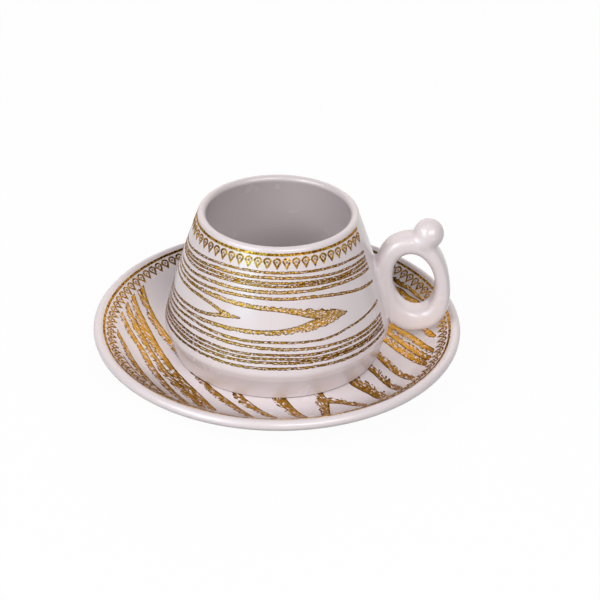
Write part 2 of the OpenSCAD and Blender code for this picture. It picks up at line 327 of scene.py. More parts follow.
class HandleForm:
    """The ring's outline in its leaning plane, worked out from its sizes."""

    def __init__(self, handle, cup_form):
        self.handle = handle
        half_w = handle.hole_w / 2 + handle.limb_side
        half_h = handle.hole_h / 2 + handle.limb_bottom
        rise = math.hypot(half_h * math.cos(handle.lean), half_w * math.sin(handle.lean))
        self.z = cup_form.foot_z + handle.lift + rise
        self.x = float(cup_form.radius(self.z)) + handle.limb_root + handle.hole_w / 2

    def limb(self, a):
        """Thickness of the ring at angle a, from its outer side over its top."""
        handle = self.handle
        side = np.where(np.cos(a) > 0, handle.limb_side, handle.limb_root + handle.root_press)
        end = np.where(np.sin(a) > 0, handle.limb_top, handle.limb_bottom)
        heel = np.where((np.cos(a) < 0) & (np.sin(a) < 0), handle.root_heel * np.sin(2 * a) ** 2, 0)
        return side * np.cos(a) ** 2 + end * np.sin(a) ** 2 + heel

    def edge(self, a):
        """Point of the hole's edge at angle a and the direction out of the hole there."""
        handle = self.handle
        nx, nz = np.cos(a) / handle.hole_w, np.sin(a) / handle.hole_h
        size = np.hypot(nx, nz)
        return np.cos(a) * handle.hole_w / 2, np.sin(a) * handle.hole_h / 2, nx / size, nz / size

    def point(self, a, out):
        """Place at distance out from the hole's edge, as x and z."""
        hx, hz, nx, nz = self.edge(a)
        u, v = hx + out * nx, hz + out * nz
        lean = self.handle.lean
        x = self.x + u * math.cos(lean) - v * math.sin(lean)
        return x, self.z + v * math.cos(lean) + u * math.sin(lean)

    def distance(self, co):
        """About how far each point of an array lies outside the ring."""
        lean = self.handle.lean
        px, pz = co[:, 0] - self.x, co[:, 2] - self.z
        u = px * math.cos(lean) + pz * math.sin(lean)
        v = pz * math.cos(lean) - px * math.sin(lean)
        a = np.arctan2(v / self.handle.hole_h, u / self.handle.hole_w)
        hx, hz, nx, nz = self.edge(a)
        half = self.limb(a) / 2
        out = np.abs((u - hx) * nx + (v - hz) * nz - half) / half
        face = np.abs(co[:, 1]) / (self.handle.depth / 2)
        full = self.handle.fullness
        return ((out**full + face**full) ** (1 / full) - 1) * half


def arc(centre, radius, start, end, steps):
    """Points round an arc."""
    turns = [start + (end - start) * i / steps for i in range(steps + 1)]
    return [centre + radius * Vector((math.cos(t), math.sin(t))) for t in turns]


def soft_union(a, b, reach):
    """Distance outside two bodies joined with a fillet, from the distances outside each."""
    near = np.maximum(0, reach - np.abs(a - b))
    return np.minimum(a, b) - near**2 / (4 * reach)


def deselect():
    """Leave edit mode and clear the selection."""
    if bpy.context.mode != "OBJECT":
        bpy.ops.object.mode_set(mode="OBJECT")
    bpy.ops.object.select_all(action="DESELECT")


def pick(obj):
    """Select one object alone."""
    deselect()
    bpy.context.view_layer.objects.active = obj
    obj.select_set(True)


def edit_all():
    """Enter edit mode with everything selected."""
    bpy.ops.object.mode_set(mode="EDIT")
    bpy.ops.mesh.select_all(action="SELECT")


def face_outward():
    """Turn all faces outward and leave edit mode."""
    bpy.ops.mesh.select_all(action="SELECT")
    bpy.ops.mesh.normals_make_consistent(inside=False)
    bpy.ops.object.mode_set(mode="OBJECT")


def named(name):
    """The object that was just added, under its own name."""
    obj = bpy.context.object
    obj.name = name
    obj.data.name = name
    return obj


def drawn_line(name, points):
    """A line of edges in the XZ plane, drawn by extruding one vertex from point to point."""
    deselect()
    bpy.ops.mesh.primitive_plane_add(size=MM)
    obj = named(name)
    edit_all()
    bpy.ops.mesh.merge(type="CENTER")
    bpy.ops.transform.translate(value=(points[0].x, 0, points[0].y))
    for a, b in zip(points, points[1:]):
        step = (b.x - a.x, 0, b.y - a.y)
        bpy.ops.mesh.extrude_vertices_move(TRANSFORM_OT_translate={"value": step})
    return obj


def spun(name, points, steps, start=0.0, turn=ROUND):
    """A body turned from its outline, all round or through part of a turn."""
    obj = drawn_line(name, points)
    bpy.ops.mesh.select_all(action="SELECT")
    bpy.ops.mesh.remove_doubles(threshold=OUTLINE_WELD)
    if start:
        bpy.ops.object.mode_set(mode="OBJECT")
        obj.data.transform(Matrix.Rotation(start, 4, "Z"))
        edit_all()
    bpy.ops.mesh.spin(steps=steps, angle=turn, center=(0, 0, 0), axis=(0, 0, -1))
    bpy.ops.mesh.select_all(action="SELECT")
    bpy.ops.mesh.remove_doubles(threshold=SEAM_WELD)
    if turn < ROUND:
        bpy.ops.mesh.fill_holes(sides=0)
    face_outward()
    return obj


def apply_modifier(obj, kind, **values):
    """Add one modifier with the given values and apply it."""
    pick(obj)
    bpy.ops.object.modifier_add(type=kind)
    modifier = obj.modifiers[-1]
    for key, value in values.items():
        setattr(modifier, key, value)
    bpy.ops.object.modifier_apply(modifier=modifier.name)


def joined(name, objects):
    """The objects joined into the first one."""
    deselect()
    for obj in objects:
        obj.select_set(True)
    bpy.context.view_layer.objects.active = objects[0]
    bpy.ops.object.join()
    return named(name)


def smooth(obj, degrees):
    """Smooth shading with the edges sharper than the given angle kept."""
    pick(obj)
    bpy.ops.object.shade_smooth_by_angle(angle=math.radians(degrees))


def vertex_places(obj):
    """The vertices' places as an array."""
    co = np.empty(len(obj.data.vertices) * 3, np.float32)
    obj.data.vertices.foreach_get("co", co)
    return co.reshape(-1, 3).astype(float)


def set_vertex_places(obj, co):
    """Put the vertices at the places of an array."""
    obj.data.vertices.foreach_set("co", co.astype(np.float32).ravel())
    obj.data.update()


def finish_piece(obj, body, material, nodes=()):
    """Give a piece its material in its one slot, hang it on its body and hide the solids that it stands for."""
    obj.data.materials.clear()
    obj.data.materials.append(material)
    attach(obj, body)
    if nodes:
        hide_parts(*nodes)


class Recipe:
    """The nodes of a finish or of the surroundings. An input takes another node's output or a constant."""

    def __init__(self, tree):
        self.nodes, self.links = tree.nodes, tree.links

    def feed(self, node, key, value):
        """Link an output to a node's input, or set the input to a constant."""
        socket = node.inputs[key]
        if isinstance(value, bpy.types.NodeSocket):
            self.links.new(value, socket)
        elif socket.type == "RGBA":
            socket.default_value = (*value, 1)
        else:
            socket.default_value = value

    def add(self, kind, inputs=(), **settings):
        """A new node with its settings and inputs."""
        node = self.nodes.new(kind)
        for key, value in settings.items():
            setattr(node, key, value)
        for key, value in dict(inputs).items():
            self.feed(node, key, value)
        return node

    def parts(self, vector):
        """The outputs X, Y and Z of a vector."""
        return self.add("ShaderNodeSeparateXYZ", {"Vector": vector}).outputs

    def noise(self, scale, detail, roughness=0.5, place=None):
        """Noise over the given places, or over the piece in its own place."""
        if place is None:
            place = self.add("ShaderNodeTexCoord").outputs["Object"]
        inputs = {"Vector": place, "Scale": scale, "Detail": detail, "Roughness": roughness}
        return self.add("ShaderNodeTexNoise", inputs).outputs["Fac"]

    def maths(self, operation, *values):
        """The result of an operation on numbers."""
        node = self.add("ShaderNodeMath", dict(enumerate(values)), operation=operation)
        return node.outputs["Value"]

    def between(self, value, low, high, start=0.3, end=0.7):
        """A number that runs from low to high as value runs from start to end."""
        inputs = {"Value": value, "From Min": start, "From Max": end, "To Min": low, "To Max": high}
        return self.add("ShaderNodeMapRange", inputs).outputs["Result"]

    def tint(self, value, low, high, start=0.35, end=0.65):
        """A colour that runs from low to high as value runs from start to end."""
        ramp = self.add("ShaderNodeValToRGB", {"Fac": value})
        ramp.color_ramp.interpolation = "EASE"
        for element, position, shade in zip(ramp.color_ramp.elements, (start, end), (low, high)):
            element.position = position
            element.color = (*shade, 1)
        return ramp.outputs["Color"]

    def blend(self, value, under, over):
        """One colour over another by a value."""
        inputs = {"Factor": value, "A": under, "B": over}
        return self.add("ShaderNodeMix", inputs, data_type="RGBA").outputs["Result"]

    def bump(self, shader, value, strength, distance):
        """Small relief on the shader."""
        relief = self.add("ShaderNodeBump", {"Height": value, "Strength": strength, "Distance": distance})
        self.feed(shader, "Normal", relief.outputs["Normal"])


def new_material(name):
    """A material with its recipe and shader, or without them where it was made before."""
    old = bpy.data.materials.get(name)
    if old:
        return old, None, None
    material = bpy.data.materials.new(name)
    material.use_nodes = True
    recipe = Recipe(material.node_tree)
    return material, recipe, recipe.nodes["Principled BSDF"]


def glaze_material(name, foot_z, form=None):
    """Ivory glaze that pools a little, over a faint orange-peel surface. The foot is left bare.

    Inside the form of a cup and low on its band a darker glaze colour paints the shade that falls there.
    """
    material, recipe, shader = new_material(name)
    if recipe is None:
        return material
    looks = bpy.context.scene.coffee_finishes
    pool = recipe.noise(scale=42, detail=3)
    glaze = recipe.tint(pool, looks.glaze_deep, looks.glaze_pale)
    place = recipe.add("ShaderNodeTexCoord").outputs["Object"]
    height = recipe.parts(place)["Z"]
    if form:
        # Painted shade: the glaze is darker inside the cup and low on its band
        glaze = recipe.blend(within(recipe, place, height, form), glaze, looks.glaze_painted_shade)
    bare = recipe.between(height, 1, 0, foot_z + BARE_END, foot_z + GLAZE_START)
    # The bare foot's dark colour is bare clay and a painted contact shadow
    recipe.feed(shader, "Base Color", recipe.blend(bare, glaze, looks.bare_clay_and_contact_shadow))
    haze = recipe.noise(scale=160, detail=2)
    rough = recipe.between(haze, looks.glaze_rough - 0.01, looks.glaze_rough + 0.015)
    recipe.feed(shader, "Roughness", rough)
    shader.inputs["IOR"].default_value = 1.5
    shader.inputs["Coat Weight"].default_value = 0.25
    shader.inputs["Coat Roughness"].default_value = 0.12
    recipe.bump(shader, recipe.noise(scale=520, detail=2), strength=0.02, distance=0.0002)
    return material


def within(recipe, place, height, form):
    """1 inside the cone through the middle of the cup's wall and 0 outside it."""
    slope = (form.low.x - form.top.x) / (form.top.y - form.low.y)
    middle = form.lip_c.x + slope * form.lip_c.y
    flat = recipe.add("ShaderNodeVectorMath", {0: place, 1: (1, 1, 0)}, operation="MULTIPLY")
    across = recipe.add("ShaderNodeVectorMath", {0: flat.outputs["Vector"]}, operation="LENGTH")
    cone = recipe.maths("MULTIPLY_ADD", height, slope, across.outputs["Value"])
    return recipe.between(cone, 1, 0, middle - SHADE_EDGE, middle + SHADE_EDGE)


def cup_glaze():
    """The cup's glaze."""
    form = cup_form()
    return glaze_material("cup_glaze", form.foot_z, form)


def gold_material():
    """Fired gold, thick and thin, with the broken gloss of a printed film."""
    material, recipe, shader = new_material("fired_gold")
    if recipe is None:
        return material
    looks = bpy.context.scene.coffee_finishes
    film = recipe.noise(scale=1300, detail=3, roughness=0.6)
    gold = recipe.tint(film, looks.gold_deep, looks.gold_pale, start=0.38, end=0.62)
    recipe.feed(shader, "Base Color", gold)
    gold_gloss(recipe, shader, recipe.noise(scale=1500, detail=1), relief=0.00022)
    shader.inputs["Metallic"].default_value = 1
    return material


def gold_gloss(recipe, shader, film, relief):
    """Roughness, fine relief and brown edge tint of the gold."""
    rough = bpy.context.scene.coffee_finishes.gold_rough
    wear = recipe.noise(scale=900, detail=3)
    recipe.feed(shader, "Roughness", recipe.between(wear, rough - 0.08, rough + 0.12))
    shader.inputs["Specular Tint"].default_value = (0.88, 0.72, 0.56, 1)
    recipe.bump(shader, film, strength=1.0, distance=relief)


def run_noise(recipe, run, long, wide, detail):
    """Noise drawn out along the strokes of a print, at a slant to them."""
    inputs = {"Vector": run, "Rotation": (0, 0, RUN_SLANT), "Scale": (long, wide, RUN_DEEP)}
    place = recipe.add("ShaderNodeMapping", inputs, vector_type="TEXTURE")
    return recipe.noise(1, detail, place=place.outputs["Vector"])


def grain_material(name, speck_long, speck_wide, bare, lacy, edge, relief):
    """Fired gold of the wood grain: darker at the edges of its strokes, with bare specks along them."""
    material, recipe, shader = new_material(name)
    if recipe is None:
        return material
    looks = bpy.context.scene.coffee_finishes
    run = recipe.add("ShaderNodeAttribute", attribute_name="run").outputs["Vector"]
    parts = recipe.parts(run)
    core = recipe.between(parts["Z"], 0, 1, start=0.16, end=0.3)
    specks = run_noise(recipe, run, speck_long, speck_wide, detail=1)
    lace = recipe.maths("MULTIPLY_ADD", parts["Y"], lacy, specks)
    seen = recipe.between(lace, 0, 1, start=0.5 + bare, end=0.55 + bare)
    speck = recipe.maths("MULTIPLY", seen, core)
    film = run_noise(recipe, run, 0.6 * speck_long, 0.6 * speck_wide, detail=3)
    inner = recipe.between(parts["Z"], 0, 1, start=0.2, end=0.4)
    thick = recipe.maths("MULTIPLY_ADD", inner, edge, film)
    gold = recipe.tint(thick, looks.gold_deep, looks.gold_pale, start=0.47, end=0.8)
    recipe.feed(shader, "Base Color", recipe.blend(speck, gold, looks.glaze_pale))
    gold_gloss(recipe, shader, film, relief)
    recipe.feed(shader, "Metallic", recipe.between(speck, 1, 0, start=0, end=1))
    return material


def cup_form():
    """The cup's outline at the scene's sizes."""
    scene = bpy.context.scene
    return CupForm(scene.coffee_cup, scene.coffee_saucer.well_z)


def dish_form():
    """The saucer's outline at the scene's sizes."""
    return DishForm(bpy.context.scene.coffee_saucer)


def lattice(ix, iy, seed):
    """Repeatable value from 0 to 1 for each whole-number place."""
    n = np.sin(ix * 127.1 + iy * 311.7 + seed * 74.7) * 43758.5453
    return n - np.floor(n)


def grain_noise(x, y, seed):
    """Smooth noise from -1 to 1, with about one bump to a unit."""
    ix, iy = np.floor(x), np.floor(y)
    fx, fy = x - ix, y - iy
    fx, fy = fx * fx * (3 - 2 * fx), fy * fy * (3 - 2 * fy)
    low = lattice(ix, iy, seed) * (1 - fx) + lattice(ix + 1, iy, seed) * fx
    high = lattice(ix, iy + 1, seed) * (1 - fx) + lattice(ix + 1, iy + 1, seed) * fx
    return 2 * (low * (1 - fy) + high * fy) - 1


def smooth_path(points, spans=8):
    """A smooth run of points (x, y, width) through the given ones."""
    p = np.array(points, float)
    p = np.vstack([2 * p[0] - p[1], p, 2 * p[-1] - p[-2]])
    run = []
    for a, b, c, d in zip(p, p[1:], p[2:], p[3:]):
        curve = 2 * a - 5 * b + 4 * c - d
        twist = 3 * b - a - 3 * c + d
        for i in range(spans):
            t = i / spans
            run.append(0.5 * (2 * b + (c - a) * t + curve * t**2 + twist * t**3))
    return np.vstack([run, p[-2]])


# Hairs of a stroke's fringe, in millimetres: their spacing, their length and how far they slant forward
HAIR_GAP, HAIR_LONG, HAIR_SLANT = 0.6, 2.5, 0.9
# Waver of a stroke's crisp edge, in millimetres: its depth and its spacing
WAVER, WAVER_GAP = 0.05, 0.9
# Distance that sets the run of one stroke apart from the next one's, so that their specks differ
RUN_STEP = 200
# Shares of a grid step between which a print's edge cuts it
CUT_LOW, CUT_HIGH = 0.1, 0.9


class Chart:
    """A print laid out flat, in millimetres: how far inside the print each place of a grid lies, and its run.

    The run is the distance along the stroke that covers the place, the distance across it and the depth
    inside it.
    """

    def __init__(self, xs, ys):
        self.xs, self.ys = xs, ys
        self.field = np.full((len(ys), len(xs)), -1.0)
        self.run = np.zeros((len(ys), len(xs), 3))

    def mirrored(self):
        """The chart mirrored to the left of its first column."""
        chart = Chart(2 * self.xs[0] - self.xs[::-1], self.ys)
        chart.field, chart.run = self.field[:, ::-1], self.run[:, ::-1]
        return chart

    def part(self, start, end):
        """The columns from start to end."""
        chart = Chart(self.xs[start:end], self.ys)
        chart.field, chart.run = self.field[:, start:end], self.run[:, start:end]
        return chart

    def stroke(self, points, fringe, comb, seed):
        """Cover the chart with a stroke through points (x, y, width).

        One edge of the stroke is crisp. The other, on the left for fringe 1 and the right for -1, is combed
        into slanting hairs as deep as the share comb.
        """
        path = smooth_path(points)
        reach = path[:, 2].max() + 1
        i0, i1 = np.searchsorted(self.ys, [path[:, 1].min() - reach, path[:, 1].max() + reach])
        j0, j1 = np.searchsorted(self.xs, [path[:, 0].min() - reach, path[:, 0].max() + reach])
        if i1 - i0 < 2 or j1 - j0 < 2:
            return
        x, y = np.meshgrid(self.xs[j0:j1], self.ys[i0:i1])
        best = np.full(x.shape, np.inf)
        along, aside, width = np.zeros(x.shape), np.zeros(x.shape), np.zeros(x.shape)
        done = 0.0
        for a, b in zip(path, path[1:]):
            dx, dy = b[0] - a[0], b[1] - a[1]
            size = math.hypot(dx, dy)
            t = np.clip(((x - a[0]) * dx + (y - a[1]) * dy) / size**2, 0, 1)
            ex, ey = x - a[0] - t * dx, y - a[1] - t * dy
            gap = ex * ex + ey * ey
            near = gap < best
            best[near] = gap[near]
            along[near] = (done + t * size)[near]
            aside[near] = ((dx * ey - dy * ex) / size)[near]
            width[near] = (a[2] + t * (b[2] - a[2]))[near]
            done += size
        away = np.sqrt(best)
        side = np.where(np.abs(aside) < away - 1e-6, np.sign(aside) * away, aside) * fringe
        deep = side + width / 2
        hairs = grain_noise((along + HAIR_SLANT * side) / HAIR_GAP, side / HAIR_LONG, seed)
        hairs = np.clip(0.5 + 0.8 * hairs, 0, 1)
        edge = width * (1 + comb / 2 - comb * hairs) - deep
        crisp = deep + WAVER * grain_noise(along / WAVER_GAP, 0 * side, seed + 5)
        ends = width / 2 * (1 + comb / 2) - away
        inside = np.minimum.reduce([edge, crisp, ends])
        field, run = self.field[i0:i1, j0:j1], self.run[i0:i1, j0:j1]
        over = inside > field
        field[over] = inside[over]
        run[over] = np.stack([along + RUN_STEP * seed, side, inside], 2)[over]

    def film(self, name, place, thick):
        """A thin closed film over the print, laid on its surface by place."""
        field, xs, ys = self.field, self.xs, self.ys
        solid = field > 0
        busy = solid[:-1, :-1] | solid[1:, :-1] | solid[:-1, 1:] | solid[1:, 1:]
        index, spots, runs, faces = {}, [], [], []

        def spot(key, x, y, inner):
            if key not in index:
                index[key] = len(spots)
                spots.append((x, y))
                runs.append(self.run[inner])
            return index[key]

        for i, j in zip(*np.nonzero(busy)):
            ring = []
            corners = ((i, j), (i, j + 1), (i + 1, j + 1), (i + 1, j))
            for a, b in zip(corners, corners[1:] + corners[:1]):
                fa, fb = field[a], field[b]
                if fa > 0:
                    ring.append(spot(a, xs[a[1]], ys[a[0]], a))
                if (fa > 0) != (fb > 0):
                    t = min(CUT_HIGH, max(CUT_LOW, fa / (fa - fb)))
                    x = xs[a[1]] + t * (xs[b[1]] - xs[a[1]])
                    y = ys[a[0]] + t * (ys[b[0]] - ys[a[0]])
                    ring.append(spot((min(a, b), max(a, b)), x, y, a if fa > 0 else b))
            if len(ring) > 2:
                faces.append(ring)
        flat = np.array(spots)
        mesh = bpy.data.meshes.new(name)
        mesh.from_pydata(place(flat[:, 0], flat[:, 1]).tolist(), [], faces)
        run = mesh.attributes.new("run", "FLOAT_VECTOR", "POINT")
        run.data.foreach_set("vector", np.array(runs, np.float32).ravel())
        obj = bpy.data.objects.new(name, mesh)
        bpy.context.scene.collection.objects.link(obj)
        apply_modifier(obj, "SOLIDIFY", thickness=thick, offset=1)
        return obj


class COFFEE_OT_saucer(bpy.types.Operator):
    """Turn the saucer from its outline"""

    bl_idname = "coffee.saucer"
    bl_label = "Saucer"

    def execute(self, context):
        saucer = spun("saucer_glazed", dish_form().outline(), steps=256)
        smooth(saucer, degrees=50)
        finish_piece(saucer, "saucer", glaze_material("saucer_glaze", 0), ["saucer"])
        return {"FINISHED"}


class COFFEE_OT_cup_body(bpy.types.Operator):
    """Turn the cup's body from its outline"""

    bl_idname = "coffee.cup_body"
    bl_label = "Cup body"

    def execute(self, context):
        body = spun("cup_body_glazed", cup_form().outline(), steps=256)
        smooth(body, degrees=50)
        finish_piece(body, "cup", cup_glaze(), ["cup_body"])
        return {"FINISHED"}


# Drawing the handle onto its soft form: from which height over the wall, in how many rounds, the share of the way
# taken in each, the least squared slope to divide by, and the step that measures the slope
SKIN, ROUNDS, STEP_SHARE, FLATTEST, NUDGE = -0.0001, 10, 0.7, 0.3, 1e-5
# Sinking its wall patch below the glaze: how far, up to which height over the wall, and the height of the fade
SINK, PROUD, FADE = 0.0005, 0.00003, 0.0001
# The wall patch behind the root: its depth as a share of the wall, and its start and turn as shares of the angle
# from the middle of the root to past its side
PATCH_DEPTH, PATCH_START, PATCH_TURN = 0.75, -1.4, 2.8


class COFFEE_OT_handle(bpy.types.Operator):
    """Shape the ring handle and its thumb ball, and blend them into each other and the wall"""

    bl_idname = "coffee.handle"
    bl_label = "Handle"

    def execute(self, context):
        handle = context.scene.coffee_handle
        cup = cup_form()
        form = HandleForm(handle, cup)
        ring_r, tube_r = handle.hole_h / 2, handle.limb_side / 2
        deselect()
        bpy.ops.mesh.primitive_torus_add(
            major_segments=144, minor_segments=48, major_radius=ring_r, minor_radius=tube_r
        )
        ring = named("cup_handle_glazed")
        co = vertex_places(ring)
        a = np.arctan2(co[:, 1], co[:, 0])
        t = np.arctan2(co[:, 2], np.hypot(co[:, 0], co[:, 1]) - ring_r)
        power = 2 / handle.fullness
        out, face = (np.sign(part) * np.abs(part) ** power for part in (np.cos(t), np.sin(t)))
        x, z = form.point(a, form.limb(a) * (1 + out) / 2)
        set_vertex_places(ring, np.stack([x, -handle.depth / 2 * face, z], 1))
        out = float(form.limb(handle.ball_turn)) + handle.ball_r - handle.ball_sink
        bx, bz = form.point(handle.ball_turn, out)
        deselect()
        bpy.ops.mesh.primitive_uv_sphere_add(
            segments=64, ring_count=32, radius=handle.ball_r, location=(bx, 0, bz)
        )
        ball = named("thumb_ball")
        bpy.ops.object.transform_apply(location=True, rotation=False, scale=False)
        patch = self.wall_patch(handle, cup, form)
        ring = joined("cup_handle_glazed", [ring, ball, patch])
        bpy.ops.object.mode_set(mode="EDIT")
        face_outward()
        apply_modifier(ring, "REMESH", mode="VOXEL", voxel_size=0.00034)
        self.soften(ring, handle, cup, form, Vector((bx, 0, bz)))
        smooth(ring, degrees=80)
        finish_piece(ring, "cup", cup_glaze(), ["cup_handle"])
        return {"FINISHED"}

    def wall_patch(self, handle, cup, form):
        """A piece of the cup's wall behind the root, so that the root can blend into it."""
        half = handle.hole_h / 2 + handle.blend
        zs = [form.z - half + 2 * half * i / 20 for i in range(21)]
        depth = PATCH_DEPTH * cup.cup.wall
        line = [Vector((float(cup.radius(z)), z)) for z in zs]
        line += [Vector((float(cup.radius(z)) - depth, z)) for z in reversed(zs)]
        wide = (handle.depth / 2 + 2 * handle.blend) / form.x
        return spun("root_patch", line + line[:1], steps=24, start=PATCH_START * wide, turn=PATCH_TURN * wide)

    def soften(self, ring, handle, cup, form, ball):
        """Fill the creases at the ball's neck and the root, then sink the patch below the cup's glaze."""

        def off(p):
            knob = np.linalg.norm(p - np.array(ball), axis=1) - handle.ball_r
            both = soft_union(form.distance(p), knob, handle.neck)
            return soft_union(both, cup.height_over(p), handle.blend)

        co = vertex_places(ring)
        outer = cup.height_over(co) > SKIN
        p = co[outer]
        for _ in range(ROUNDS):
            here = off(p)
            slope = np.stack([off(p + step) - here for step in NUDGE * np.eye(3)], 1) / NUDGE
            p -= (STEP_SHARE * here / np.maximum(FLATTEST, np.sum(slope**2, 1)))[:, None] * slope
        co[outer] = p
        set_vertex_places(ring, co)
        apply_modifier(ring, "SMOOTH", factor=0.5, iterations=8)
        co = vertex_places(ring)
        r = np.hypot(co[:, 0], co[:, 1])
        sink = SINK * np.clip(1 - (cup.height_over(co) - PROUD) / FADE, 0, 1)
        co[:, :2] *= ((r - sink) / r)[:, None]
        set_vertex_places(ring, co)


class COFFEE_OT_gold_lines(bpy.types.Operator):
    """Lay the gold lines below the lip and the rim"""

    bl_idname = "coffee.gold_lines"
    bl_label = "Gold lines"

    def execute(self, context):
        prints = context.scene.coffee_prints
        cup, dish = cup_form(), dish_form()
        turn = ROUND - prints.gap
        line = self.outline(cup, prints.cup_line_drop, prints)
        cup_line = spun("cup_line_fired", line, steps=240, start=prints.gap / 2, turn=turn)
        line = self.outline(dish, prints.saucer_line_drop, prints)
        saucer_line = spun("saucer_line_fired", line, steps=256)
        for obj, body in ((cup_line, "cup"), (saucer_line, "saucer")):
            smooth(obj, degrees=40)
            finish_piece(obj, body, gold_material(), [body + "_gold_line"])
        return {"FINISHED"}

    def outline(self, form, drop, prints):
        """Closed outline of a line's film on a wall."""
        ends = [form.place(drop), form.place(drop + prints.line_w)]
        near = [p + prints.lift * out for p, out in ends]
        far = [p + (prints.lift + prints.thick) * out for p, out in ends]
        return [near[0], near[1], far[1], far[0], near[0]]


# Width of the eye's drawn line as a share of its radius
EYE_LINE = 0.6


class COFFEE_OT_drop_borders(bpy.types.Operator):
    """Draw one drop with its eye, and lay copies of it round the cup and the saucer"""

    bl_idname = "coffee.drop_borders"
    bl_label = "Drop borders"

    def execute(self, context):
        prints = context.scene.coffee_prints
        cup, dish = cup_form(), dish_form()
        arc_len = ROUND - prints.gap
        top = prints.cup_line_drop + prints.line_w + prints.border_gap
        self.border("cup", cup, top, prints.cup_drops, arc_len, prints.cup_drop_h, prints)
        top = prints.saucer_line_drop + prints.line_w + prints.border_gap
        self.border("saucer", dish, top, prints.saucer_drops, ROUND, prints.saucer_drop_h, prints)
        return {"FINISHED"}

    def drop(self, width, height, prints):
        """One drop, drawn flat: a round drawn out to a point, with a small ring for its eye."""
        r = width / 2
        tip = height - r
        deselect()
        bpy.ops.mesh.primitive_circle_add(vertices=24, radius=r, fill_type="NGON")
        obj = named("drop")
        for v in obj.data.vertices:
            if v.co.y < -1e-7:
                s = abs(math.atan2(v.co.x, -v.co.y)) / (math.pi / 2)
                v.co = (math.copysign(r * s, v.co.x), -tip * (1 - s), 0)
        edit_all()
        bpy.ops.mesh.inset(thickness=prints.drop_line)
        bpy.ops.mesh.delete(type="FACE")
        bpy.ops.mesh.primitive_circle_add(vertices=12, radius=prints.eye_r, fill_type="NGON")
        bpy.ops.mesh.inset(thickness=EYE_LINE * prints.eye_r)
        bpy.ops.mesh.delete(type="FACE")
        bpy.ops.object.mode_set(mode="OBJECT")
        return obj

    def border(self, body, form, top, count, arc_len, height, prints):
        """Copies of the drop side by side, each bent onto the wall."""
        width = prints.drop_fill * arc_len * form.place(top)[0].x / count
        first = self.drop(width, height, prints)
        flat = vertex_places(first)
        drops = []
        for i in range(count):
            obj = first.copy()
            obj.data = first.data.copy()
            bpy.context.scene.collection.objects.link(obj)
            middle = math.pi + arc_len * ((i + 0.5) / count - 0.5)
            co = []
            for u, v, _ in flat.tolist():
                p, out = form.place(top + width / 2 - v)
                p = p + prints.lift * out
                turn = middle + u / p.x
                co.append((p.x * math.cos(turn), p.x * math.sin(turn), p.y))
            set_vertex_places(obj, np.array(co))
            drops.append(obj)
        bpy.data.objects.remove(first)
        border = joined(body + "_drops_fired", drops)
        edit_all()
        if border.data.polygons[0].normal.dot(self.outward(border, form)) < 0:
            bpy.ops.mesh.flip_normals()
        bpy.ops.object.mode_set(mode="OBJECT")
        apply_modifier(border, "SOLIDIFY", thickness=prints.thick, offset=1)
        finish_piece(border, body, gold_material(), [body + "_drop_border"])

    def outward(self, obj, form):
        """Outward direction of the wall at the object's first face."""
        centre = obj.data.polygons[0].center
        out = form.place(0)[1]
        across = Vector((centre.x, centre.y)).normalized()
        return Vector((across.x * out.x, across.y * out.x, out.y))


